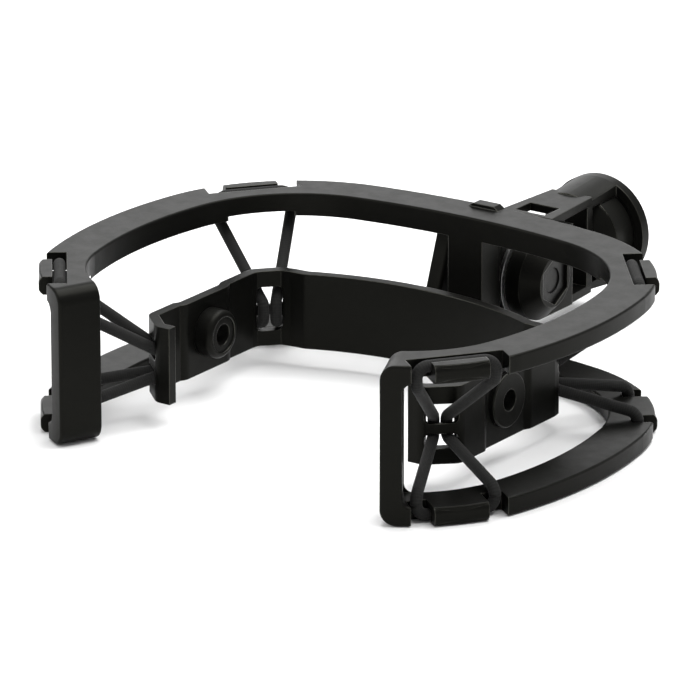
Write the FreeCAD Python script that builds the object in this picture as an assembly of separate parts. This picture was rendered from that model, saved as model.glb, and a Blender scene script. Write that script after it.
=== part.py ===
"""Open-front suspension mount for a side-hung microphone.

A horseshoe frame carries a springy cradle band on four elastic loops. Two bosses on the band
take the microphone's side screws. A tilting yoke at the back ends in a thread socket for a stand.

Frame: +X to the right, +Y to the thread socket at the back, +Z up, millimetres. The shapes are
built about the centre of the horseshoe, with z = 0 under the frame, and every piece is moved
along Y at the end, so that the origin is under the middle of the whole mount.
"""

import FreeCAD, Part
import math
import os

V = FreeCAD.Vector
X_AXIS = V(1, 0, 0)
Y_AXIS = V(0, 1, 0)
Z_AXIS = V(0, 0, 1)

# ---- Horseshoe frame ----
frame_height = 37.0
frame_rear = 58.4                     # horseshoe centre to the outer edge at the back
rear_radius = 179.2
rear_corner_radius = 42.6
side_radius = 103.1
front_corner_radius = 37.3
# radius and turn (degrees) of each arc of the outer edge, from the middle of the back to one end
frame_arcs = (
    (rear_radius, 9.95),
    (rear_corner_radius, 67.9),
    (side_radius, 27.0),
    (front_corner_radius, 50.8),
)
rail_width = 10.65
rail_thickness = 4.3
end_post = 4.3                        # along the rail
end_round = 3.6                       # round on the upper and lower outer corner of an end
window_round = 2.2                    # round in the side window beside an end post
pillar_width = 9.4
pillar_depth = 7.6                    # from the rails' inner edge to the narrower web behind it
rib_width = 2.6                       # rib under the upper rail, along its inner edge
rib_height = 1.1
edge_round = 0.5
pad_height = 0.9                      # pad on the upper rail over the pillar
pad_width = 8.2
pad_depth = 3.2

# ---- Elastic cord ----
cord_diameter = 2.7
cord_bend = cord_diameter             # radius of the cord's centre line round a tab's edges
cord_gap = 0.1                        # play between the cord and what it lies on
bridge_gap = 0.3                      # the same round a bridge, which the cord crosses aslant
eye_gap = 0.15                        # play between the cord and the sides of an eye
cord_drop = cord_diameter / 2 + 0.15   # how far past a rail the cord turns towards the cradle
strand_spread = cord_diameter / 2 + cord_gap     # each strand's distance from the middle of an eye

# ---- Cord stations: a notch each side of a tab, and a groove behind the tab ----
station_turns = {"rear": 50.6, "front": 127.4}   # degrees turned along the outer edge
tab_length = 12.6
tab_proud = 0.1                       # how far a tab's middle stands out from the rail's edge
tab_round = 1.6
notch_width = cord_diameter + 2.2
notch_depth = 6.3
groove_width = cord_diameter + 0.6
groove_depth = cord_diameter + cord_gap

# ---- Cradle band ----
band_thickness = 2.4
band_height = 18.2
band_middle = frame_height / 2 - 4.6  # height of the band's middle above the frame's base
band_rear = 35.1                      # horseshoe centre to the band's outer face at the back
band_rear_radius = 80.0
band_rear_reach = 31.0                # where the rear arc ends, from the centre plane
band_side = 43.0                      # outer face of the band's sides
band_flat = 42.2                      # outer face of the screw flats
flat_rear = 9.0
flat_front = -6.4
band_corner = 1.6                     # radius of the band's bends at its outer face
lip_bend = 3.4                        # the same each side of the front eye
bridge_height = 2.4
bridge_thickness = 1.0                # the bridge lies in the band's outer face
eye_middle = frame_height / 2 - 5.4   # height of the bridges' middle above the frame's base
eye_round = 1.3
lip_end = 32.7                        # centre plane to the free end of the lip

# ---- Microphone bosses ----
boss_y = 1.6
boss_z = frame_height / 2 - 4.3
boss_bore = 5.0
boss_shank = 8.4
boss_flange = 12.8
boss_flange_thickness = 1.1
boss_collar = 11.4
boss_reach = 35.4                     # centre plane to the collar's inner face
boss_edge = 1.2
press_gap = 0.02
seat_gap = 0.02

# ---- Tilt hinge ----
pivot_y = frame_rear + 8.5
pivot_z = frame_height / 2
lug_radius = 9.8
lug_width = 7.6
washer_thickness = 1.0
washer_radius = 11.2
washer_play = 0.05
ear_inner_step = 0.2                  # ear radius over lug radius
ear_inner = lug_width / 2 + washer_thickness + washer_play
ear_shoulder = ear_inner + 3.95       # centre plane to where an ear starts to taper
ear_face = ear_shoulder + 3.7         # centre plane to an ear's outer face
bolt_diameter = 6.0
bolt_fit = 0.06                       # radial clearance of the bolt in lug and ears
washer_fit = 0.15                     # radial clearance of the washers on the bolt
lock_washer_width = 1.4               # radial
nut_flats = bolt_diameter + 4.0
nut_thickness = 3.2
nut_play = 0.1
nut_pocket = 4.2
ear_face_radius = nut_flats / math.sqrt(3) + 0.53
cheek_length = 13.0                   # hinge axis to where the ears end in the walls
web_width = 1.6                       # web from each ear up and down to the walls

# ---- Thread socket ----
thread_diameter = 15.875              # 5/8 inch, at the thread's crest circle in the insert
insert_wall = 1.26
collar_wall = 1.35
collar_play = 0.25                    # radial, collar body in the yoke's shell
socket_wall = 1.8
rim_wall = 2.5
insert_radius = thread_diameter / 2 + insert_wall
collar_radius = insert_radius + collar_wall
socket_bore = collar_radius + collar_play
shell_radius = socket_bore + socket_wall - 0.4   # outer radius where the shell starts
rim_radius = socket_bore + rim_wall
wall_top = shell_radius - 0.4         # socket axis to the yoke's top and bottom faces
wall_thickness = 2.0
wall_front = pivot_y + 6.6
shell_front = pivot_y + 24.1
socket_rear = pivot_y + 39.4
rim_length = 2.9
rim_edge = 0.4
wall_half_width_front = 7.0
wall_half_width_rear = 5.6
socket_rise = 0.6                     # socket axis above the hinge axis
partition_thickness = 2.2
slot_width = 8.2
slot_length = 6.4
slot_front = pivot_y + 8.0

neck_radius = 4.2
neck_fit = 0.08
neck_length = 3.0                     # in front of the partition
collar_shoulder = 3.0                 # length of the collar's cone
collar_floor = 3.4                    # collar's front to the bottom of the insert's seat
collar_front_radius = 5.6
collar_front_play = 0.3
collar_rear_play = 0.3
peg_hole = 2.0                        # cross hole in the neck, for a peg that turns the collar
ring_thickness = 1.5
ring_recess = 0.2                     # how far the ring lies inside the rim's face
ring_overlap = 0.3                    # how far the ring covers the insert
ring_ledge = 0.7

socket_z = pivot_z + socket_rise

# ---- Tilt knob ----
knob_gap = 0.4
knob_edge = 0.7
bolt_grip = 2.5                       # length of bolt held inside the lever
lock_washer = 1.0
knob_thickness = 4.2
knob_corner = 3.2
knob_width = 13.4
knob_reach_up = 10.4                  # hinge axis to the upper end of the lever
knob_reach_down = 14.0                # hinge axis to its lower tip
knob_lean = 20.0                      # degrees the lever leans forward of upright


# ---- Outline of the horseshoe ----

def arc_chain():
    """Centre, radius, start turn and end turn of each arc of the right half's outer edge."""
    chain = []
    point = V(0, frame_rear, 0)
    turned = 0.0
    for radius, turn in frame_arcs:
        centre = point - outward(turned) * radius
        chain.append((centre, radius, turned, turned + turn))
        turned += turn
        point = centre + outward(turned) * radius
    return chain


def outward(turn):
    """Unit normal of the outer edge, after this many degrees of turn from the back."""
    angle = math.radians(turn)
    return V(math.sin(angle), math.cos(angle), 0)


def outline_point(turn, inset=0.0):
    for centre, radius, start, end in arc_chain():
        if turn <= end + 1e-9:
            return centre + outward(turn) * (radius - inset)
    raise ValueError("turn is past the frame's end")


def outline_edges(inset, end_turn):
    edges = []
    for centre, radius, start, end in arc_chain():
        stop = min(end, end_turn)
        if stop <= start:
            break
        ends = [centre + outward(turn) * (radius - inset) for turn in (start, (start + stop) / 2, stop)]
        edges.append(Part.Arc(*ends).toShape())
    return edges


def mirrored(shape):
    return shape.mirror(V(0, 0, 0), X_AXIS)


def rail(outset, inset, end_turn, low, high):
    """The horseshoe between two offsets of its outer edge, from low to high."""
    outer = outline_edges(-outset, end_turn)
    inner = outline_edges(inset, end_turn)
    lines = [
        Part.makeLine(outer[-1].lastVertex().Point, inner[-1].lastVertex().Point),
        Part.makeLine(inner[0].firstVertex().Point, outer[0].firstVertex().Point),
    ]
    wire = Part.Wire(Part.__sortEdges__(outer + lines + inner))
    half = Part.Face(wire).extrude(Z_AXIS * (high - low))
    half.translate(Z_AXIS * low)
    return half.fuse(mirrored(half)).removeSplitter()


def box(x0, x1, y0, y1, z0, z1):
    return Part.makeBox(x1 - x0, y1 - y0, z1 - z0, V(x0, y0, z0))


def cylinder(radius, length, base, axis):
    return Part.makeCylinder(radius, length, base, axis)


def cone(radius_a, radius_b, length, base, axis):
    return Part.makeCone(radius_a, radius_b, length, base, axis)


def edges_at(shape, points, tolerance=0.05):
    """Edges whose middle lies at one of the points."""
    found = []
    for edge in shape.Edges:
        middle = edge.valueAt((edge.FirstParameter + edge.LastParameter) / 2)
        if any(middle.distanceToPoint(point) < tolerance for point in points):
            found.append(edge)
    return found


def end_turn():
    return sum(turn for radius, turn in frame_arcs)


def post_turn():
    """Turn where the side window ends, beside the end post."""
    last_radius = frame_arcs[-1][0] - rail_width / 2
    return end_turn() - math.degrees(end_post / last_radius)


def in_station(turn, side, u, v, z):
    """Point from u along the edge away from the back, v outwards, and height z."""
    normal = outward(turn)
    along = V(normal.y, -normal.x, 0)
    point = outline_point(turn) + along * u + normal * v
    return V(point.x * side, point.y, z)


def station_block(turn, side, u0, u1, v0, v1, z0, z1):
    corners = [(u0, v0), (u1, v0), (u1, v1), (u0, v1), (u0, v0)]
    wire = Part.makePolygon([in_station(turn, side, u, v, z0) for u, v in corners])
    return Part.Face(wire).extrude(Z_AXIS * (z1 - z0))


def outer_frame():
    top = frame_height
    body = rail(0, rail_width, end_turn(), 0, top)
    window = rail(2, rail_width + 2, post_turn(), rail_thickness, top - rail_thickness)
    half_pillar = pillar_width / 2
    pillar = box(-half_pillar, half_pillar, frame_rear - rail_width - 5, frame_rear + 5, -1, top + 1)
    body = body.cut(window.cut(pillar)).removeSplitter()
    front = frame_rear - rail_width + pillar_depth
    for side in (-1, 1):
        x0, x1 = sorted((side * lug_width / 2, side * 12))
        body = body.cut(box(x0, x1, front, frame_rear + 5, rail_thickness, top - rail_thickness))

    end_middle = outline_point(end_turn(), rail_width / 2)
    post_middle = outline_point(post_turn(), rail_width / 2)
    ends = []
    posts = []
    for side in (-1, 1):
        ends += [V(end_middle.x * side, end_middle.y, z) for z in (0, top)]
        posts += [V(post_middle.x * side, post_middle.y, z) for z in (rail_thickness, top - rail_thickness)]
    body = body.makeFillet(end_round, edges_at(body, ends))
    body = body.makeFillet(window_round, edges_at(body, posts, 0.4))
    body = body.makeFillet(edge_round, long_edges(body))
    body = body.fuse(inner_rib()).removeSplitter()
    for turn in station_turns.values():
        for side in (-1, 1):
            for block in tab_blocks(turn, side):
                body = body.fuse(block)
            for cutter in station_cutters(turn, side):
                body = body.cut(cutter)
    body = body.fuse(hinge_lug()).fuse(rear_pad()).removeSplitter()
    return body.cut(cylinder(bolt_diameter / 2 + bolt_fit, 40, V(-20, pivot_y, pivot_z), X_AXIS))


def inner_rib():
    """Shallow rib under the upper rail, along its inner edge."""
    near = rail_width - rib_width
    under = frame_height - rail_thickness
    return rail(-near, rail_width, post_turn() - 1, under - rib_height, under + edge_round + 0.1)


def long_edges(body):
    """The rails' outer and inner edges, where a flat face meets an upright one."""
    top = frame_height
    levels = (0, rail_thickness, top - rail_thickness, top)
    found = []
    for edge in body.Edges:
        box_ = edge.BoundBox
        flat = box_.ZLength < 1e-6 and any(abs(box_.ZMin - level) < 1e-6 for level in levels)
        if flat and not isinstance(edge.Curve, Part.Line):
            found.append(edge)
    return found


def tab_blocks(turn, side):
    """Straight tabs with rounded outer edges, a little proud of the rails' curved edge."""
    half = tab_length / 2
    root = -tab_round - 1
    blocks = []
    for low in (0, frame_height - rail_thickness):
        high = low + rail_thickness
        block = station_block(turn, side, -half, half, root, tab_proud, low, high)
        middles = [in_station(turn, side, 0, tab_proud, z) for z in (low, high)]
        blocks.append(block.makeFillet(tab_round, edges_at(block, middles)))
    return blocks


def station_cutters(turn, side):
    """Both notches, and the grooves above and below that join them."""
    top = frame_height
    half = tab_length / 2
    cutters = []
    for direction in (-1, 1):
        near, far = sorted((direction * half, direction * (half + notch_width)))
        cutters.append(station_block(turn, side, near, far, -notch_depth, 4, -1, top + 1))
    inner = -notch_depth
    outer = inner + groove_width
    cutters.append(station_block(turn, side, -half - 1, half + 1, inner, outer, top - groove_depth, top + 1))
    cutters.append(station_block(turn, side, -half - 1, half + 1, inner, outer, -1, groove_depth))
    wide = half + notch_width
    low, high = rail_thickness, top - rail_thickness
    cutters.append(station_block(turn, side, -wide, wide, -rail_width - 1, inner, low, high))
    return cutters


def hinge_lug():
    """Web from the pillar to a round lug on the tilt axis."""
    half = lug_width / 2
    disc = cylinder(lug_radius, lug_width, V(-half, pivot_y, pivot_z), X_AXIS)
    web = box(-half, half, frame_rear - 3, pivot_y, pivot_z - lug_radius, pivot_z + lug_radius)
    lug = disc.fuse(web).removeSplitter()
    rims = [edge for edge in lug.Edges if isinstance(edge.Curve, Part.Circle)]
    return lug.makeChamfer(0.5, rims)


def rear_pad():
    """Low chamfered pad on the upper rail, over the pillar."""
    half = pad_width / 2
    low = frame_height - 1
    high = frame_height + pad_height
    slope = pad_height + 0.4
    profile = [(-half, low), (half, low), (half, frame_height), (half - slope, high)]
    profile += [(slope - half, high), (-half, frame_height)]
    points = [V(x, frame_rear - pad_depth, z) for x, z in profile]
    return Part.Face(Part.makePolygon(points + points[:1])).extrude(Y_AXIS * (pad_depth - 0.3))


# ---- Cradle band ----

def bent_wire(points, *radii):
    """Straight runs through the points, joined by tangent arcs of one radius, or of one each."""
    edges = []
    start = points[0]
    each = radii if len(radii) > 1 else radii * (len(points) - 2)
    for radius, before, corner, after in zip(each, points, points[1:], points[2:]):
        back = (before - corner).normalize()
        ahead = (after - corner).normalize()
        half_turn = (math.pi - back.getAngle(ahead)) / 2
        reach = radius * math.tan(half_turn)
        enter = corner + back * reach
        leave = corner + ahead * reach
        inwards = (back + ahead).normalize()
        middle = corner + inwards * (radius / math.cos(half_turn) - radius)
        if start.distanceToPoint(enter) > 1e-6:
            edges.append(Part.makeLine(start, enter))
        edges.append(Part.Arc(enter, middle, leave).toShape())
        start = leave
    edges.append(Part.makeLine(start, points[-1]))
    return edges


def band_rear_point(x):
    """Point of the band's rear arc at this distance from the centre plane."""
    return V(x, band_rear - band_rear_radius + math.sqrt(band_rear_radius ** 2 - x ** 2), 0)


def band_points():
    """Corners of the band's outer face on the right, from the rear arc to the lip."""
    return [
        band_rear_point(band_rear_reach),
        V(34.6, 28.6, 0),
        V(37.8, 28.0, 0),
        V(42.6, 22.8, 0),
        V(band_side, 20.4, 0),
        V(band_side, flat_rear + 1.6, 0),
        V(band_flat, flat_rear, 0),
        V(band_flat, flat_front, 0),
        V(band_side, flat_front - 1.2, 0),
        V(band_side, -17.4, 0),
        V(36.6, -23.2, 0),
        V(lip_end, -23.2, 0),
    ]


def eye_places():
    """Middle and outward normal of each eye panel on the right, at the band's outer face."""
    corners = band_points()
    places = {}
    for name, start, end in (("rear", corners[2], corners[3]), ("front", corners[-3], corners[-2])):
        along = (end - start).normalize()
        places[name] = ((start + end) * 0.5, V(-along.y, along.x, 0), along)
    return places


def cradle_band():
    corners = band_points()
    low = band_middle - band_height / 2
    edges = [Part.Arc(band_rear_point(0), band_rear_point(band_rear_reach / 2), corners[0]).toShape()]
    tight = [band_corner] * (len(corners) - 4)
    edges += bent_wire(corners, *tight, lip_bend, lip_bend)
    wire = Part.Wire(Part.__sortEdges__(edges))
    face = wire.makeOffset2D(-band_thickness, 0, True, True)
    if face.BoundBox.XMax > band_side + 0.5:
        face = wire.makeOffset2D(band_thickness, 0, True, True)
    half = face.extrude(Z_AXIS * band_height)
    half.translate(Z_AXIS * low)
    band = half.fuse(mirrored(half)).removeSplitter()
    for station in station_turns:
        for side in (-1, 1):
            band = band.cut(eye_cutter(station, side))
    for side in (-1, 1):
        axis = X_AXIS * side
        hole = cylinder(boss_shank / 2, 10, V(side * (band_flat - 6), boss_y, boss_z), axis)
        band = band.cut(hole)
    return band


def eye_cutter(station, side):
    """Two rounded holes, and the recess that joins them behind the bridge."""
    middle, normal, along = eye_places()[station]
    half, inner_half, low, high = eye_window(station)
    flare = (half - inner_half) / band_thickness
    bridge = bridge_height / 2
    blocks = [
        eye_block(half, flare, 1, bridge, high),
        eye_block(half, flare, 1, low, -bridge),
        eye_block(half, flare, -bridge_thickness, low, high),
    ]
    cutter = blocks[0].fuse(blocks[1:])
    cutter.rotate(V(0, 0, 0), Z_AXIS, -math.degrees(math.atan2(normal.x, normal.y)))
    cutter.translate(middle + Z_AXIS * eye_middle)
    return cutter if side > 0 else mirrored(cutter)


def eye_block(half, flare, outer, z0, z1):
    """Rounded block from past the band's inner face out to a level, wider by flare outwards."""
    inner = -band_thickness - 1
    plan = [(half + flare * y, y) for y in (inner, outer)] + [(-half - flare * y, y) for y in (outer, inner)]
    points = [V(x, y, z0) for x, y in plan]
    block = Part.Face(Part.makePolygon(points + points[:1])).extrude(Z_AXIS * (z1 - z0))
    return block.makeFillet(eye_round, [edge for edge in block.Edges if edge.BoundBox.YLength > 0.5])


# ---- Elastic loops ----

def bridge_bend():
    """Radius of the cord's centre line round a bridge's edges."""
    return cord_diameter / 2 + bridge_gap


def notch_level(way):
    """Height where a strand turns out of the notches, above (way 1) or below (way -1)."""
    return frame_height / 2 + way * (frame_height / 2 - rail_thickness - cord_drop)


def strand(station, direction):
    """One strand seen from above: where it stands behind the bridge, its level heading from
    there to the notch, and the distance. Direction -1 is the notch nearer the back."""
    middle, normal, along = eye_places()[station]
    across = tab_length / 2 + cord_bend + cord_gap
    depth = -notch_depth + groove_width / 2
    notch = in_station(station_turns[station], 1, direction * across, depth, 0)
    spread = math.copysign(strand_spread, (notch - middle).dot(along))
    behind = middle - normal * (bridge_thickness + bridge_bend()) + along * spread
    reach = notch - behind
    return behind, reach / reach.Length, reach.Length


def strand_touch(reach, way):
    """Angle, about the bridge's upper or lower edge, where the strand to that notch leaves it."""
    across = reach - bridge_bend()
    rise = notch_level(way) - eye_middle - way * bridge_height / 2
    return math.atan2(rise, across) + way * math.acos(bridge_bend() / math.hypot(across, rise))


def eye_window(station):
    """Half widths at the outer and inner face, bottom and top of an eye about the bridge's
    middle: what the strands need."""
    middle, normal, along = eye_places()[station]
    halves = [0, 0]
    low, high = 0, 0
    for direction in (-1, 1):
        behind, heading, reach = strand(station, direction)
        lean = heading.dot(normal)
        out = (bridge_thickness + bridge_bend()) / lean
        for i, depth in enumerate((0, band_thickness)):
            sideways = (behind + heading * (out - depth / lean) - middle).dot(along)
            halves[i] = max(halves[i], abs(sideways) + cord_diameter / 2 / lean + eye_gap)
        for way in (-1, 1):
            touch = strand_touch(reach, way)
            slope = -1 / math.tan(touch)
            rise = bridge_bend() / math.sin(touch) + slope * (out - bridge_bend()) + way * bridge_height / 2
            thick = cord_diameter / 2 * math.hypot(1, slope / lean)
            low = min(low, rise - thick)
            high = max(high, rise + thick)
    return halves[0], halves[1], low - eye_gap, high + eye_gap


def loop_edges(station, side):
    """Centre line of one loop: over the upper tab, behind the bridge, and under the lower tab."""
    turn = station_turns[station]
    depth = -notch_depth + groove_width / 2
    over = frame_height / 2 - groove_depth + cord_diameter / 2 + cord_gap
    across = tab_length / 2 + cord_bend + cord_gap
    bend = bridge_bend()
    edges = []
    for direction in (-1, 1):
        behind, heading, reach = strand(station, direction)
        base = behind + Z_AXIS * eye_middle
        ends = []
        for way in (-1, 1):
            touch = strand_touch(reach, way)
            start = base + Z_AXIS * (way * bridge_height / 2)
            arc = [start]
            for angle in ((way * math.pi + touch) / 2, touch):
                out = bend * (1 + math.cos(angle))
                arc.append(start + heading * out + Z_AXIS * (bend * math.sin(angle)))
            edges.append(Part.Arc(*arc).toShape())
            ends.append(start)
            crossing = frame_height / 2 + way * over
            above_tab = in_station(turn, 1, 0, depth, crossing)
            corner = in_station(turn, 1, direction * across, depth, crossing)
            notch = in_station(turn, 1, direction * across, depth, notch_level(way))
            edges += bent_wire([above_tab, corner, notch, arc[-1]], cord_bend)
        edges.append(Part.makeLine(*ends))
    if side < 0:
        edges = [mirrored(edge) for edge in edges]
    return edges


def elastic_loop(station, side):
    """Round cord along its centre line: the skin of every span, closed into one solid."""
    skins = []
    for edge in loop_edges(station, side):
        start = edge.valueAt(edge.FirstParameter)
        heading = edge.tangentAt(edge.FirstParameter)
        circle = Part.Wire(Part.makeCircle(cord_diameter / 2, start, heading))
        skins += Part.Wire(edge).makePipeShell([circle], False, True).Faces
    shell = Part.Shell(Part.makeCompound(skins).Faces)
    shell.sewShape()
    return Part.Solid(shell)


# ---- Microphone bosses ----

def boss_point(side, x):
    return V(side * x, boss_y, boss_z)


def boss_bush(side):
    """Flanged bush pushed through the band from outside."""
    start = boss_reach + 0.3
    flange_at = band_flat + seat_gap
    axis = X_AXIS * side
    shank = cylinder(boss_shank / 2 - press_gap, flange_at - start, boss_point(side, start), axis)
    flange = cylinder(boss_flange / 2, boss_flange_thickness, boss_point(side, flange_at), axis)
    flange = flange.makeChamfer(0.25, edges_at_x(flange, side * (flange_at + boss_flange_thickness)))
    bush = shank.fuse(flange)
    return bush.cut(cylinder(boss_bore / 2, 12, boss_point(side, start - 1), axis))


def edges_at_x(shape, x):
    return [edge for edge in shape.Edges if edge.BoundBox.XLength < 1e-6 and abs(edge.BoundBox.XMin - x) < 1e-6]


def boss_ring(side):
    """Collar on the bush's shank, against the band's inner face."""
    axis = X_AXIS * side
    inner_face = band_flat - band_thickness - seat_gap
    ring = cylinder(boss_collar / 2, inner_face - boss_reach, boss_point(side, boss_reach), axis)
    ring = ring.makeFillet(boss_edge, edges_at_x(ring, side * boss_reach))
    return ring.cut(cylinder(boss_shank / 2, 12, boss_point(side, boss_reach - 1), axis))


# ---- Tilt yoke ----

def hinge_point(x, y=0.0, z=0.0):
    """Point relative to the tilt axis."""
    return V(x, pivot_y + y, pivot_z + z)


def socket_point(y):
    return V(0, y, socket_z)


def tilt_yoke():
    """Two ears on the hinge, flat walls above and below, and a flared shell with an end rim."""
    ear_radius = lug_radius + ear_inner_step
    pieces = []
    for side in (-1, 1):
        axis = X_AXIS * side
        ear = cylinder(ear_radius, ear_shoulder - ear_inner, hinge_point(side * ear_inner), axis)
        taper = cone(ear_radius, ear_face_radius, ear_face - ear_shoulder, hinge_point(side * ear_shoulder), axis)
        x0, x1 = sorted((side * ear_inner, side * ear_shoulder))
        cheek = box(x0, x1, pivot_y, pivot_y + cheek_length, pivot_z - ear_radius, pivot_z + ear_radius)
        x0, x1 = sorted((side * ear_inner, side * (ear_inner + web_width)))
        web_half = wall_top - wall_thickness / 2
        web = box(x0, x1, wall_front, pivot_y + cheek_length, socket_z - web_half, socket_z + web_half)
        pieces += [ear, taper, cheek, web]
        wall = [(wall_half_width_front, wall_front), (wall_half_width_rear, shell_front + 2)]
        points = [V(x, y, 0) for x, y in wall] + [V(-x, y, 0) for x, y in reversed(wall)]
        slab = Part.Face(Part.makePolygon(points + points[:1])).extrude(Z_AXIS * wall_thickness)
        slab.translate(Z_AXIS * (socket_z + (wall_top - wall_thickness if side > 0 else -wall_top)))
        pieces.append(slab)
    rim_front = socket_rear - rim_length
    shell = cone(shell_radius, rim_radius, rim_front - shell_front, socket_point(shell_front), Y_AXIS)
    rim = cylinder(rim_radius, rim_length, socket_point(rim_front), Y_AXIS)
    rim = rim.makeFillet(rim_edge, [edge for edge in rim.Edges if edge.BoundBox.YMin > socket_rear - 0.01])
    body = shell.fuse(rim)
    inside = shell_front + partition_thickness
    body = body.cut(cylinder(socket_bore, socket_rear - inside + 1, socket_point(inside), Y_AXIS))
    body = body.cut(side_openings())
    for piece in pieces:
        body = body.fuse(piece)
    neck_hole = cylinder(neck_radius + neck_fit, partition_thickness + 2, socket_point(shell_front - 1), Y_AXIS)
    seat = cylinder(socket_bore + ring_ledge, 4, socket_point(socket_rear - ring_thickness - ring_recess), Y_AXIS)
    half = slot_width / 2
    slot = box(-half, half, slot_front, slot_front + slot_length, socket_z, socket_z + 2 * wall_top)
    bolt_hole = cylinder(bolt_diameter / 2 + bolt_fit, 4 * ear_face, hinge_point(-2 * ear_face), X_AXIS)
    pocket = hexagon(nut_flats + 2 * nut_play, nut_pocket + 1, ear_face - nut_pocket)
    for cutter in (neck_hole, seat, slot, bolt_hole, pocket):
        body = body.cut(cutter)
    return body.removeSplitter()


def side_openings():
    """What is open at both sides of the shell, from its front to the rim."""
    half = wall_half_width_rear
    far = 2 * rim_radius
    both = []
    for side in (-1, 1):
        x0, x1 = sorted((side * half, side * far))
        both.append(box(x0, x1, shell_front - 1, socket_rear - rim_length, socket_z - far, socket_z + far))
    return both[0].fuse(both[1])


def hexagon(flats, length, start):
    radius = flats / math.sqrt(3)
    points = []
    for step in range(7):
        angle = math.radians(60 * step + 30)
        points.append(hinge_point(start, radius * math.cos(angle), radius * math.sin(angle)))
    return Part.Face(Part.makePolygon(points)).extrude(X_AXIS * length)


def pivot_nut():
    start = ear_face - nut_pocket + nut_play
    nut = hexagon(nut_flats, nut_thickness, start)
    return nut.cut(cylinder(bolt_diameter / 2 + bolt_fit, 10, hinge_point(start - 1), X_AXIS))


def pivot_bolt():
    start = -ear_face - lock_washer - knob_gap - bolt_grip + seat_gap
    end = ear_face - nut_pocket + nut_thickness - 0.3
    return cylinder(bolt_diameter / 2, end - start, hinge_point(start), X_AXIS)


def friction_washer(side):
    start = hinge_point(side * (lug_width / 2 + washer_play / 2))
    washer = cylinder(washer_radius, washer_thickness, start, X_AXIS * side)
    return washer.cut(washer_hole())


def spring_washer():
    start = -ear_face - seat_gap
    radius = bolt_diameter / 2 + lock_washer_width
    return cylinder(radius, lock_washer, hinge_point(start), -X_AXIS).cut(washer_hole())


def washer_hole():
    return cylinder(bolt_diameter / 2 + washer_fit, 4 * ear_face, hinge_point(-2 * ear_face), X_AXIS)


def tilt_knob():
    """Flat lever fixed on the bolt's end."""
    near = -ear_face - lock_washer - knob_gap
    half = knob_width / 2
    block = Part.makeBox(knob_thickness, knob_width, knob_reach_up + knob_reach_down,
                         hinge_point(near - knob_thickness, -half, -knob_reach_down))
    corners = [edge for edge in block.Edges if edge.BoundBox.XLength > 1]
    knob = block.makeFillet(knob_corner, corners)
    rims = [edge for edge in knob.Edges if edge.BoundBox.XLength < 1e-6]
    knob = knob.makeFillet(knob_edge, rims)
    knob.rotate(hinge_point(0), X_AXIS, -knob_lean)
    return knob.cut(cylinder(bolt_diameter / 2 + press_gap, bolt_grip, hinge_point(near - bolt_grip), X_AXIS))


# ---- Threaded collar ----

def collar_span():
    """Front and rear of the collar's shell along Y."""
    front = shell_front + partition_thickness + collar_front_play
    return front, socket_rear - ring_thickness - ring_recess - collar_rear_play


def thread_collar():
    """Captive shell that turns in the yoke."""
    front, rear = collar_span()
    back = front + collar_shoulder
    shell = cylinder(collar_radius, rear - back, socket_point(back), Y_AXIS)
    shoulder = cone(collar_front_radius, collar_radius, collar_shoulder, socket_point(front), Y_AXIS)
    tip = shell_front - neck_length
    neck = cylinder(neck_radius, front - tip, socket_point(tip), Y_AXIS)
    collar = shell.fuse(shoulder).fuse(neck).removeSplitter()
    peg_start = V(-2 * neck_radius, shell_front - neck_length / 2, socket_z)
    peg = cylinder(peg_hole / 2, 4 * neck_radius, peg_start, X_AXIS)
    return collar.cut(peg).cut(cylinder(insert_radius, rear - front, socket_point(front + collar_floor), Y_AXIS))


def thread_insert():
    front, rear = collar_span()
    start = front + collar_floor
    length = rear - start
    insert = cylinder(insert_radius - press_gap, length - seat_gap, socket_point(start + seat_gap), Y_AXIS)
    return insert.cut(cylinder(thread_diameter / 2, length + 2, socket_point(start - 1), Y_AXIS))


def retaining_ring():
    start = socket_rear - ring_thickness - ring_recess + seat_gap
    radius = socket_bore + ring_ledge - press_gap
    ring = cylinder(radius, ring_thickness, socket_point(start), Y_AXIS)
    return ring.cut(cylinder(insert_radius - ring_overlap, 4, socket_point(start - 1), Y_AXIS))


def nodes():
    parts = {"outer_frame": outer_frame(), "cradle_band": cradle_band()}
    for side, word in ((-1, "left"), (1, "right")):
        for station in station_turns:
            parts["elastic_loop_%s_%s" % (station, word)] = elastic_loop(station, side)
        parts["boss_bush_" + word] = boss_bush(side)
        parts["boss_collar_" + word] = boss_ring(side)
        parts["friction_washer_" + word] = friction_washer(side)
    parts["tilt_yoke"] = tilt_yoke()
    parts["pivot_bolt"] = pivot_bolt()
    parts["pivot_nut"] = pivot_nut()
    parts["lock_washer"] = spring_washer()
    parts["tilt_knob"] = tilt_knob()
    parts["thread_collar"] = thread_collar()
    parts["thread_insert"] = thread_insert()
    parts["retaining_ring"] = retaining_ring()
    return parts


def main():
    os.makedirs("parts", exist_ok=True)
    front = outline_point(end_turn()).y
    shift = V(0, -(front + socket_rear) / 2, 0)
    for name, shape in nodes().items():
        shape.translate(shift)
        shape.exportStep("parts/%s.step" % name)
        box_ = shape.BoundBox
        print(name, shape.isValid(), len(shape.Solids), round(shape.Volume, 1),
              [round(v, 2) for v in (box_.XMin, box_.XMax, box_.YMin, box_.YMax, box_.ZMin, box_.ZMax)])
    print("shift", shift.y)


main()
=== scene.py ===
"""Open-front suspension mount for a microphone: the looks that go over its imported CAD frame.

Every length is in metres unless its name ends in _mm. +X is to the right, +Y towards the thread
socket at the back and +Z up. New pieces are surfaces worked out on a grid of two parameters.
"""

import math

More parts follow.
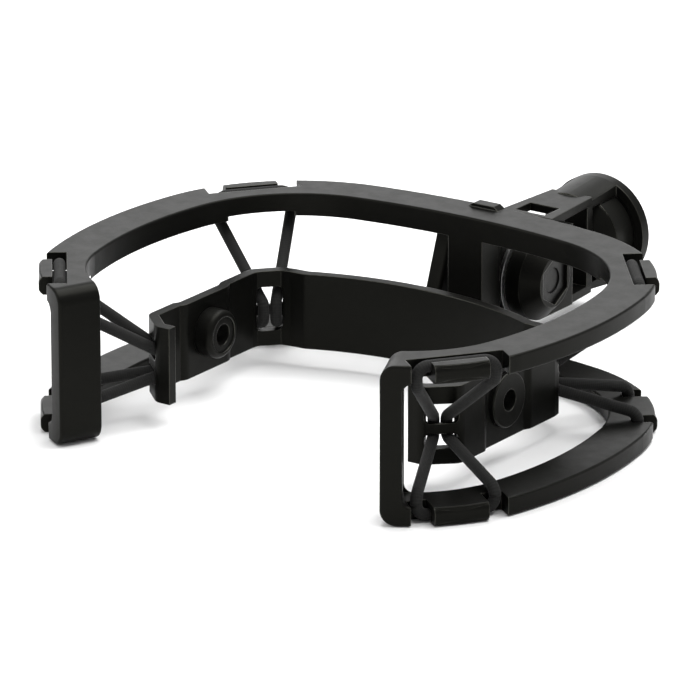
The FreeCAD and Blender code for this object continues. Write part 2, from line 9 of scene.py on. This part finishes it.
import bpy
import numpy as np
from bpy.props import FloatProperty, FloatVectorProperty, IntProperty, PointerProperty
from mathutils import Matrix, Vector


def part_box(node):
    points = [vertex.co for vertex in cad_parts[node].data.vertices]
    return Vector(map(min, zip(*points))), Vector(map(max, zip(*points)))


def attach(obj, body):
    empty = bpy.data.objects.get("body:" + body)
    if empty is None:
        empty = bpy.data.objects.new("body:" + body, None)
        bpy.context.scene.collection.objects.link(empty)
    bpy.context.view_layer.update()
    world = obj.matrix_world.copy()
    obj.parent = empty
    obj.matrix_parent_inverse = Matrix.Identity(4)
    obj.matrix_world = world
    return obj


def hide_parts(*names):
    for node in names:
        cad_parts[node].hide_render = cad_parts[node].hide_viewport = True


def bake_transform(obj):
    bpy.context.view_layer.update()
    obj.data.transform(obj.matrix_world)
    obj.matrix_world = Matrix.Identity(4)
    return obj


bl_info = {
    "name": "Microphone Suspension Mount",
    "version": (1, 0, 0),
    "blender": (4, 5, 0),
    "location": "View3D > Sidebar > Mount",
    "description": "Materials, cords, threads, light and camera for a microphone suspension mount",
    "category": "Object",
}

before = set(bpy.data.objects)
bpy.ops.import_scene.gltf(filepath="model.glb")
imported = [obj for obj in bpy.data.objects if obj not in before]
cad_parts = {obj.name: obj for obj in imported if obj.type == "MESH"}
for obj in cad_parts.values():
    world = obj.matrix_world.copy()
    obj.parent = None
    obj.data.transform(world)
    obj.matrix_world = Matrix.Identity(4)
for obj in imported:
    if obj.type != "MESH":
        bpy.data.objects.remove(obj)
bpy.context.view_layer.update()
MM = 0.001

# ---- Where the elastic loops run, in millimetres of the row frame, right-hand side ----
# groove: middle of the groove behind a tab; along: direction of that groove;
# bridge: where a loop stands behind the bridge between two eyes; across: direction of the bridge.
STATIONS_MM = {
    "rear": {"groove": (52.928, 9.600), "along": (0.6347, -0.7727),
             "bridge": (38.253, -4.630), "across": (0.6783, -0.7348)},
    "front": {"groove": (53.998, -63.916), "along": (-0.6074, -0.7944),
              "bridge": (38.020, -46.569), "across": (-0.7410, -0.6715)},
}
HALF_SPAN_MM = 9.1            # groove middle to a strand's way down
OVER_MM = 35.65               # height of the cord in the upper groove
TURN_MM = 31.2                # height where a strand leaves the notch
FRAME_MM = 37.0
BRIDGE_Z_MM = 13.1
BRIDGE_HALF_MM = 1.2          # half the bridge's height
WRAP_MM = 1.65                # radius of the cord's centre line round the bridge's edges
SPREAD_MM = 1.45
BEND_MM = 2.7


# ---- Settings ----

class MountSettings(bpy.types.PropertyGroup):
    """Sizes and colours of the looks."""

    moulding_colour: FloatVectorProperty(
        name="Moulding colour", description="Colour of the black mouldings", subtype="COLOR",
        size=3, min=0, max=1, default=(0.0042, 0.0042, 0.0038))
    moulding_roughness: FloatProperty(
        name="Moulding roughness", description="Roughness of the black mouldings",
        min=0, max=1, default=0.34)
    grain_size: FloatProperty(
        name="Grain size", description="Size of the mouldings' surface grain",
        min=0.0001, max=0.002, default=0.00035, precision=5, unit="LENGTH")
    edge_radius: FloatProperty(
        name="Edge radius", description="Radius that the mouldings' edges seem to have",
        min=0, max=0.002, default=0.00035, precision=5, unit="LENGTH")
    cord_diameter: FloatProperty(
        name="Cord diameter", description="Diameter of the elastic loops",
        min=0.001, max=0.005, default=0.0027, precision=4, unit="LENGTH")
    cord_colour: FloatVectorProperty(
        name="Cord colour", description="Colour of the braid on the elastic loops", subtype="COLOR",
        size=3, min=0, max=1, default=(0.013, 0.013, 0.0125))
    carriers: IntProperty(
        name="Carriers", description="Yarns that cross one ring of the braid each way",
        min=4, max=24, default=12)
    thread_pitch: FloatProperty(
        name="Thread pitch", description="Pitch of the stand thread",
        min=0.0005, max=0.002, default=0.0254 / 27, precision=5, unit="LENGTH")
    steel_colour: FloatVectorProperty(
        name="Steel colour", description="Colour of the washers", subtype="COLOR",
        size=3, min=0, max=1, default=(0.56, 0.56, 0.55))
    blackened_colour: FloatVectorProperty(
        name="Blackened colour", description="Colour of the blackened bolt and nut", subtype="COLOR",
        size=3, min=0, max=1, default=(0.035, 0.035, 0.034))
    brass_colour: FloatVectorProperty(
        name="Brass colour", description="Colour of the thread insert", subtype="COLOR",
        size=3, min=0, max=1, default=(0.66, 0.47, 0.22))
    floor_colour: FloatVectorProperty(
        name="Floor colour", description="Colour of the floor", subtype="COLOR",
        size=3, min=0, max=1, default=(0.86, 0.86, 0.86))
    light_power: FloatProperty(
        name="Light power", description="Strength of the studio lights, as a share of the usual",
        min=0, max=10, default=1.0)
    lens: FloatProperty(
        name="Lens", description="Focal length of the camera", min=50, max=600, default=350.5)


# ---- Meshes ----

def grid_piece(name, points, uv=None, close_rows=False, close_columns=False):
    """Mesh object of an R by C by 3 array of points, with quads between neighbours."""
    rows, columns = points.shape[:2]
    r = np.arange(rows if close_rows else rows - 1)
    c = np.arange(columns if close_columns else columns - 1)
    r, c = np.meshgrid(r, c, indexing="ij")
    down, right = (r + 1) % rows, (c + 1) % columns
    corner_row = np.stack([r, down, down, r], -1).reshape(-1, 4)
    corner_column = np.stack([c, c, right, right], -1).reshape(-1, 4)
    mesh = bpy.data.meshes.new(name)
    mesh.from_pydata(points.reshape(-1, 3).tolist(), [], (corner_row * columns + corner_column).tolist())
    mesh.polygons.foreach_set("use_smooth", np.ones(len(mesh.polygons), bool))
    if uv is not None:
        # the seam's faces run on past the last row or column instead of back to the first
        last = np.stack([r, r + 1, r + 1, r], -1).reshape(-1, 4)
        side = np.stack([c, c, c + 1, c + 1], -1).reshape(-1, 4)
        layer = mesh.uv_layers.new(name="UVMap")
        layer.data.foreach_set("uv", uv[last, side].astype(np.float32).ravel())
    mesh.update()
    piece = bpy.data.objects.new(name, mesh)
    bpy.context.scene.collection.objects.link(piece)
    return piece


def rounded_route(corners, radii, step):
    """Closed line of straight runs and tangent arcs: at each corner of a taut cord, the arc of
    that radius which touches both runs, p(a) = centre + radius (cos a, sin a) in their plane."""
    samples = []
    count = len(corners)
    for i in range(count):
        before, corner, after = corners[i - 1], corners[i], corners[(i + 1) % count]
        back = (before - corner) / np.linalg.norm(before - corner)
        ahead = (after - corner) / np.linalg.norm(after - corner)
        half = math.acos(np.clip(back @ ahead, -1, 1)) / 2
        reach = radii[i] / math.tan(half)
        middle = (back + ahead) / np.linalg.norm(back + ahead)
        centre = corner + middle * radii[i] / math.sin(half)
        x = corner + back * reach - centre
        x /= np.linalg.norm(x)
        y = back * -1
        angles = np.linspace(0, math.pi - 2 * half, 13)
        samples += [centre + radii[i] * (math.cos(a) * x + math.sin(a) * y) for a in angles]
    line = np.array(samples + samples[:1])
    along = np.concatenate([[0], np.cumsum(np.linalg.norm(np.diff(line, axis=0), axis=1))])
    even = np.linspace(0, along[-1], int(along[-1] / step) + 1)
    return np.stack([np.interp(even, along, line[:, k]) for k in range(3)], 1)[:-1], along[-1]


def loop_corners(station, side):
    """Corners of one elastic loop and the arc radius at each: over the upper tab, down a notch,
    round the bridge, down to the other notch and under the lower tab, on both strands."""
    place = STATIONS_MM[station]
    groove, along = np.array(place["groove"]), np.array(place["along"])
    bridge, across = np.array(place["bridge"]), np.array(place["across"])
    strands = []
    for way in (1, -1):
        notch = groove + along * HALF_SPAN_MM * way
        spread = SPREAD_MM if (notch - bridge) @ across > 0 else -SPREAD_MM
        behind = bridge + across * spread
        reach = np.linalg.norm(notch - behind)
        points = [(*notch, OVER_MM), (*notch, TURN_MM)]
        for height, turn in ((TURN_MM, 1), (FRAME_MM - TURN_MM, -1)):
            edge = BRIDGE_Z_MM + turn * BRIDGE_HALF_MM
            rise, run = height - edge, reach - WRAP_MM
            touch = math.atan2(rise, run) + turn * math.acos(WRAP_MM / math.hypot(rise, run))
            points.append((*behind, edge + WRAP_MM * (1 + math.cos(touch)) / math.sin(touch)))
        points += [(*notch, FRAME_MM - TURN_MM), (*notch, FRAME_MM - OVER_MM)]
        strands.append(points)
    corners = np.array(strands[0] + strands[1][::-1])
    corners[:, 0] *= side
    radii = [BEND_MM, BEND_MM, WRAP_MM, WRAP_MM, BEND_MM, BEND_MM]
    return corners * MM, np.array(radii + radii[::-1]) * MM


def tube(name, line, length, radius, around=20):
    """Closed tube p(s, a) = line(s) + radius (cos a n(s) + sin a b(s)), with n and b carried
    along the line without twist, and the last turn's mismatch spread over the whole length."""
    count = len(line)
    heading = np.roll(line, -1, 0) - np.roll(line, 1, 0)
    heading /= np.linalg.norm(heading, axis=1)[:, None]
    normals = [np.cross(heading[0], (0.3, 0.5, 0.8))]
    normals[0] /= np.linalg.norm(normals[0])
    for i in range(1, count + 1):
        t = heading[i % count]
        n = normals[-1] - t * (normals[-1] @ t)
        normals.append(n / np.linalg.norm(n))
    first, last = normals[0], normals[-1]
    twist = math.atan2(np.cross(last, first) @ heading[0], last @ first)
    normals = np.array(normals[:-1])
    sideways = np.cross(heading, normals)
    angle = np.linspace(0, 2 * math.pi, around, endpoint=False)[None, :] + (
        twist * np.arange(count) / count)[:, None]
    points = line[:, None, :] + radius * (
        np.cos(angle)[..., None] * normals[:, None, :] + np.sin(angle)[..., None] * sideways[:, None, :])
    turns = round(length / (2 * math.pi * radius))
    v, u = np.meshgrid(np.linspace(0, turns, count + 1), np.linspace(0, 1, around + 1), indexing="ij")
    return grid_piece(name, points[:, ::-1], np.stack([u, v], -1), True, True)


def thread_ridge(name, centre, radius, depth, pitch, start, end, per_turn=72):
    """Ridge of an inside thread about an axis along Y: p(a, k) = centre + r_k (cos a, 0, sin a) +
    (start + pitch a / 2 pi + y_k), where (r_k, y_k) is the ridge's three-sided section."""
    section = [(radius + 0.00002, -0.47), (radius, -0.44), (radius - depth, -0.07), (radius - depth, 0.07)]
    section += [(radius, 0.44), (radius + 0.00002, 0.47)]
    turns = (end - start) / pitch - 1
    a = np.linspace(0, 2 * math.pi * turns, int(per_turn * turns) + 1)
    fade = np.clip(np.minimum(a, a[-1] - a) / 1.2, 0, 1)
    points = np.empty((len(a), len(section), 3))
    for k, (r, y) in enumerate(section):
        r = radius + 0.00002 + (r - radius - 0.00002) * fade
        points[:, k, 0] = centre[0] + r * np.cos(a)
        points[:, k, 1] = start + pitch * (a / (2 * math.pi) + 0.5 + y)
        points[:, k, 2] = centre[2] + r * np.sin(a)
    return grid_piece(name, points[:, ::-1])


# ---- Materials ----

class Tree:
    """A material's node tree, built node by node."""

    def __init__(self, name):
        self.material = bpy.data.materials.new(name)
        self.material.use_nodes = True
        self.tree = self.material.node_tree
        self.tree.nodes.clear()

    def add(self, kind, inputs=None, **settings):
        node = self.tree.nodes.new(kind)
        for key, value in settings.items():
            setattr(node, key, value)
        for key, value in (inputs or {}).items():
            if isinstance(value, bpy.types.NodeSocket):
                self.tree.links.new(value, node.inputs[key])
            else:
                node.inputs[key].default_value = value
        return node

    def math(self, operation, *values):
        return self.add("ShaderNodeMath", dict(enumerate(values)), operation=operation).outputs[0]

    def noise(self, coords, scale, detail=2.0, roughness=0.5):
        inputs = {"Vector": coords, "Scale": scale, "Detail": detail, "Roughness": roughness}
        return self.add("ShaderNodeTexNoise", inputs).outputs[0]

    def remap(self, value, low, high, to_low, to_high):
        inputs = {"Value": value, "From Min": low, "From Max": high, "To Min": to_low, "To Max": to_high}
        return self.add("ShaderNodeMapRange", inputs).outputs[0]

    def mix(self, factor, a, b):
        inputs = {"Factor": factor, 6: a, 7: b}
        return self.add("ShaderNodeMix", inputs, data_type="RGBA").outputs[2]

    def finish(self, **inputs):
        shader = self.add("ShaderNodeBsdfPrincipled", {k.replace("_", " "): v for k, v in inputs.items()})
        self.add("ShaderNodeOutputMaterial", {"Surface": shader.outputs[0]})
        return self.material


def shade(colour, factor):
    return (*(min(1.0, channel * factor) for channel in colour), 1)


def moulded(name, colour, roughness, settings, wear_and_highlight=0.5, seam=None):
    """Satin moulded plastic: fine spark-eroded grain, faint handling marks, and rounded edges
    that are a little paler and smoother, partly from wear and partly a painted highlight.
    seam is a Y where a parting line runs round."""
    t = Tree(name)
    coords = t.add("ShaderNodeTexCoord").outputs["Object"]
    grain = t.noise(coords, 1 / settings.grain_size, 3.0, 0.6)
    cloud = t.noise(coords, 45.0, 5.0, 0.6)
    marks = t.noise(coords, 260.0, 6.0, 0.7)
    rounded = t.add("ShaderNodeBevel", {"Radius": settings.edge_radius}, samples=6).outputs[0]
    flat = t.add("ShaderNodeNewGeometry").outputs["True Normal"]
    facing = t.add("ShaderNodeVectorMath", {0: rounded, 1: flat}, operation="DOT_PRODUCT").outputs["Value"]
    edge = t.remap(facing, 0.99, 0.80, 0.0, 1.0)
    # paler, smoother edges: rubbed wear where the handling marks fall, plus a painted highlight that every edge gets
    edge_wear_and_highlight = t.math("MULTIPLY", edge, t.remap(marks, 0.40, 0.62, 0.25 * wear_and_highlight, wear_and_highlight))
    base = t.mix(cloud, shade(colour, 0.88), shade(colour, 1.14))
    # painted highlight and wear on the edges: their colour is raised 2.6 times
    base = t.mix(edge_wear_and_highlight, base, shade(colour, 2.6))
    gloss = t.math("MULTIPLY_ADD", edge, 0.75, 0.07)
    rough = t.math("ADD", t.remap(marks, 0.3, 0.7, roughness - 0.05, roughness + 0.05),
                   t.math("MULTIPLY", edge_wear_and_highlight, -0.10))
    normal = t.add("ShaderNodeBump", {"Strength": 0.22, "Distance": 0.00003, "Height": grain, "Normal": rounded}).outputs[0]
    if seam is not None:
        y = t.add("ShaderNodeSeparateXYZ", {0: coords}).outputs["Y"]
        groove = t.remap(t.math("ABSOLUTE", t.math("SUBTRACT", y, seam)), 0.00008, 0.00018, 0.0, 1.0)
        base = t.mix(groove, shade(colour, 0.25), base)
        normal = t.add("ShaderNodeBump", {"Strength": 0.6, "Distance": 0.0002, "Height": groove, "Normal": normal}).outputs[0]
    return t.finish(Base_Color=base, Roughness=rough, Normal=normal, Specular_IOR_Level=gloss,
                    Specular_Tint=(1.0, 1.0, 0.86, 1.0))


def braided(name, colour, settings):
    """Braided sleeve on the cord's own UV map: two sets of yarns that cross in diamonds, each
    yarn a raised rib of fine fibres, with painted shade between the yarns and a painted highlight on their crests."""
    t = Tree(name)
    uv = t.add("ShaderNodeTexCoord").outputs["UV"]
    split = t.add("ShaderNodeSeparateXYZ", {0: uv})
    u, v = split.outputs[0], split.outputs[1]
    around = t.math("MULTIPLY", u, float(settings.carriers))
    along = t.math("MULTIPLY", v, 8.0)
    ribs = []
    for way in ("ADD", "SUBTRACT"):
        phase = t.math("MULTIPLY", t.math(way, around, along), 2 * math.pi)
        ribs.append(t.math("SINE", phase))
    diamond = t.math("MULTIPLY", ribs[0], ribs[1])
    height = t.remap(diamond, -1.0, 1.0, 0.0, 1.0)
    stretched = t.add("ShaderNodeMapping", {"Vector": uv, "Scale": (60.0, 14.0, 1.0)}).outputs[0]
    fibre = t.noise(stretched, 3.0, 3.0, 0.6)
    fuzz = t.noise(t.add("ShaderNodeTexCoord").outputs["Object"], 900.0, 3.0, 0.6)
    # painted shade in the valleys between the yarns and painted highlight on their crests, following the braid's
    # height
    base = t.mix(height, shade(colour, 0.55), shade(colour, 1.35))
    base = t.mix(t.math("MULTIPLY", fuzz, 0.35), base, shade(colour, 2.2))
    relief = t.math("ADD", height, t.math("MULTIPLY", fibre, 0.35))
    normal = t.add("ShaderNodeBump", {"Strength": 0.6, "Distance": 0.00008, "Height": relief}).outputs[0]
    return t.finish(Base_Color=base, Roughness=t.remap(fuzz, 0.3, 0.7, 0.72, 0.88), Normal=normal,
                    Specular_IOR_Level=0.15, Sheen_Weight=0.06, Sheen_Roughness=0.4)


def turned_metal(name, colour, roughness, axis, settings):
    """Machined metal: fine grain, faint stains and softly broken edges."""
    t = Tree(name)
    coords = t.add("ShaderNodeTexCoord").outputs["Object"]
    squeeze = [2600.0, 2600.0, 2600.0]
    squeeze["XYZ".index(axis)] = 2600.0
    streak = t.noise(t.add("ShaderNodeMapping", {"Vector": coords, "Scale": squeeze}).outputs[0], 1.0, 2.0, 0.5)
    stain = t.noise(coords, 420.0, 5.0, 0.65)
    rounded = t.add("ShaderNodeBevel", {"Radius": settings.edge_radius * 0.6}, samples=6).outputs[0]
    base = t.mix(stain, shade(colour, 0.86), shade(colour, 1.08))
    rough = t.math("ADD", t.remap(stain, 0.3, 0.7, roughness - 0.06, roughness + 0.06),
                   t.math("MULTIPLY", streak, 0.06))
    normal = t.add("ShaderNodeBump", {"Strength": 0.15, "Distance": 0.00002, "Height": streak, "Normal": rounded}).outputs[0]
    return t.finish(Base_Color=base, Metallic=1.0, Roughness=rough, Normal=normal)


def paint(nodes, material):
    for name in nodes:
        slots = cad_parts[name].data.materials
        slots.clear()
        slots.append(material)


# ---- Operators ----

class MouldedParts(bpy.types.Operator):
    """Give the frame, cradle, yoke, lever, collar and bosses their satin black finishes"""
    bl_idname = "mount.moulded_parts"
    bl_label = "Moulded parts"

    def execute(self, context):
        s = context.scene.mount_settings
        colour, rough = s.moulding_colour, s.moulding_roughness
        paint(["outer_frame"], moulded("frame_moulding", colour, rough, s))
        paint(["tilt_yoke"], moulded("yoke_moulding", colour, rough, s))
        paint(["cradle_band"], moulded("cradle_moulding", shade(colour, 0.9)[:3], rough, s))
        paint(["tilt_knob"], moulded("lever_moulding", shade(colour, 1.1)[:3], rough + 0.06, s, wear_and_highlight=0.8))
        paint(["retaining_ring"], moulded("ring_moulding", colour, rough, s))
        low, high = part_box("thread_collar")
        seam = low[1] + (high[1] - low[1]) * 0.52
        paint(["thread_collar"], moulded("collar_moulding", shade(colour, 1.5)[:3], 0.32, s, seam=seam))
        bosses = ["boss_bush_left", "boss_bush_right", "boss_collar_left", "boss_collar_right"]
        paint(bosses, moulded("boss_moulding", shade(colour, 1.3)[:3], 0.34, s, wear_and_highlight=0.9))
        return {"FINISHED"}


class MetalParts(bpy.types.Operator):
    """Give the hinge hardware and the thread insert their metal finishes"""
    bl_idname = "mount.metal_parts"
    bl_label = "Metal parts"

    def execute(self, context):
        s = context.scene.mount_settings
        washers = ["friction_washer_left", "friction_washer_right", "lock_washer"]
        paint(washers, turned_metal("washer_steel", s.steel_colour, 0.30, "X", s))
        paint(["pivot_bolt", "pivot_nut"], turned_metal("blackened_steel", s.blackened_colour, 0.42, "X", s))
        paint(["thread_insert"], turned_metal("insert_brass", s.brass_colour, 0.28, "Y", s))
        return {"FINISHED"}


class ElasticLoops(bpy.types.Operator):
    """Make the braided elastic loops, which stretch between the frame and the cradle"""
    bl_idname = "mount.elastic_loops"
    bl_label = "Elastic loops"

    def execute(self, context):
        s = context.scene.mount_settings
        material = braided("elastic_braid", s.cord_colour, s)
        for station, place in STATIONS_MM.items():
            for side, word in ((-1, "left"), (1, "right")):
                corners, radii = loop_corners(station, side)
                line, length = rounded_route(corners, radii, 0.0004)
                piece = tube("loop_%s_%s" % (station, word), line, length, s.cord_diameter / 2)
                piece.data.materials.append(material)
                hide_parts("elastic_loop_%s_%s" % (station, word))
                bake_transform(piece)
        return {"FINISHED"}


class StandThread(bpy.types.Operator):
    """Cut the stand thread inside the brass insert"""
    bl_idname = "mount.stand_thread"
    bl_label = "Stand thread"

    def execute(self, context):
        s = context.scene.mount_settings
        low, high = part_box("thread_insert")
        centre = ((low[0] + high[0]) / 2, 0, (low[2] + high[2]) / 2)
        piece = thread_ridge("stand_thread", centre, 0.0079375, 0.00048, s.thread_pitch, low[1], high[1])
        piece.data.materials.append(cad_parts["thread_insert"].data.materials[0])
        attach(piece, "collar")
        return {"FINISHED"}


class Stage(bpy.types.Operator):
    """Lay the pale floor, hang the soft lights and set the camera"""
    bl_idname = "mount.stage"
    bl_label = "Stage"

    def execute(self, context):
        s = context.scene.mount_settings
        across, deep = np.meshgrid(np.linspace(-6, 6, 3), np.linspace(-6, 6, 3), indexing="ij")
        floor = grid_piece("floor", np.stack([across, deep, 0 * across - 0.0002], -1)[::-1])
        t = Tree("floor_paint")
        fleck = t.noise(t.add("ShaderNodeTexCoord").outputs["Object"], 30.0, 4.0)
        colour = t.mix(fleck, shade(s.floor_colour, 0.99), shade(s.floor_colour, 1.01))
        floor.data.materials.append(t.finish(Base_Color=colour, Roughness=0.9, Specular_IOR_Level=0.1))
        light = [
            ("light_above", (0.15, 0.35, 1.5), (0, 0, 0), 1.6, 42),
            ("light_front", (-1.3, -1.5, 1.0), (0, 0, 0), 1.2, 16),
            ("light_behind", (-1.1, 1.6, 0.75), (0, 0, 0.02), 1.3, 8),
        ]
        for name, where, at, size, power in light:
            lamp = bpy.data.lights.new(name, "AREA")
            lamp.size = size
            lamp.energy = power * s.light_power
            lamp_object = bpy.data.objects.new(name, lamp)
            context.scene.collection.objects.link(lamp_object)
            aim = np.array(at, float) - where
            lamp_object.matrix_world = looking(where, aim, (0, 0, 1) if abs(aim[0]) + abs(aim[1]) > 0.1 else (0, 1, 0))
        world = bpy.data.worlds.new("studio")
        world.use_nodes = True
        world.node_tree.nodes["Background"].inputs["Color"].default_value = (0.8, 0.8, 0.8, 1)
        world.node_tree.nodes["Background"].inputs["Strength"].default_value = 0.62
        context.scene.world = world
        context.scene.view_settings.view_transform = "Standard"
        camera = bpy.data.cameras.new("camera")
        camera.lens = s.lens
        camera.sensor_width = 36
        camera.clip_end = 20
        camera_object = bpy.data.objects.new("camera", camera)
        context.scene.collection.objects.link(camera_object)
        camera_object.matrix_world = looking((0.8347, -1.2222, 0.5191), (-0.5414, 0.7753, -0.3253), (0, 0, 1))
        context.scene.camera = camera_object
        return {"FINISHED"}


def looking(where, aim, up):
    """Matrix of a light or camera at a place, looking along aim."""
    back = -np.array(aim, float) / np.linalg.norm(aim)
    right = np.cross(up, back)
    right /= np.linalg.norm(right)
    above = np.cross(back, right)
    rows = [[right[i], above[i], back[i], where[i]] for i in range(3)]
    return Matrix(rows + [[0, 0, 0, 1]])


class MountPanel(bpy.types.Panel):
    """Settings and steps of the mount's looks"""
    bl_idname = "VIEW3D_PT_mount"
    bl_label = "Microphone mount"
    bl_space_type = "VIEW_3D"
    bl_region_type = "UI"
    bl_category = "Mount"

    def draw(self, context):
        settings = context.scene.mount_settings
        for name in MountSettings.__annotations__:
            self.layout.prop(settings, name)
        for step in STEPS:
            self.layout.operator(step.bl_idname)


STEPS = (MouldedParts, MetalParts, ElasticLoops, StandThread, Stage)
CLASSES = (MountSettings, *STEPS, MountPanel)


def register():
    for item in CLASSES:
        bpy.utils.register_class(item)
    bpy.types.Scene.mount_settings = PointerProperty(type=MountSettings)


def unregister():
    del bpy.types.Scene.mount_settings
    for item in reversed(CLASSES):
        bpy.utils.unregister_class(item)


def main():
    register()
    for step in STEPS:
        group, name = step.bl_idname.split(".")
        getattr(getattr(bpy.ops, group), name)()


if __name__ == "__main__":
    main()
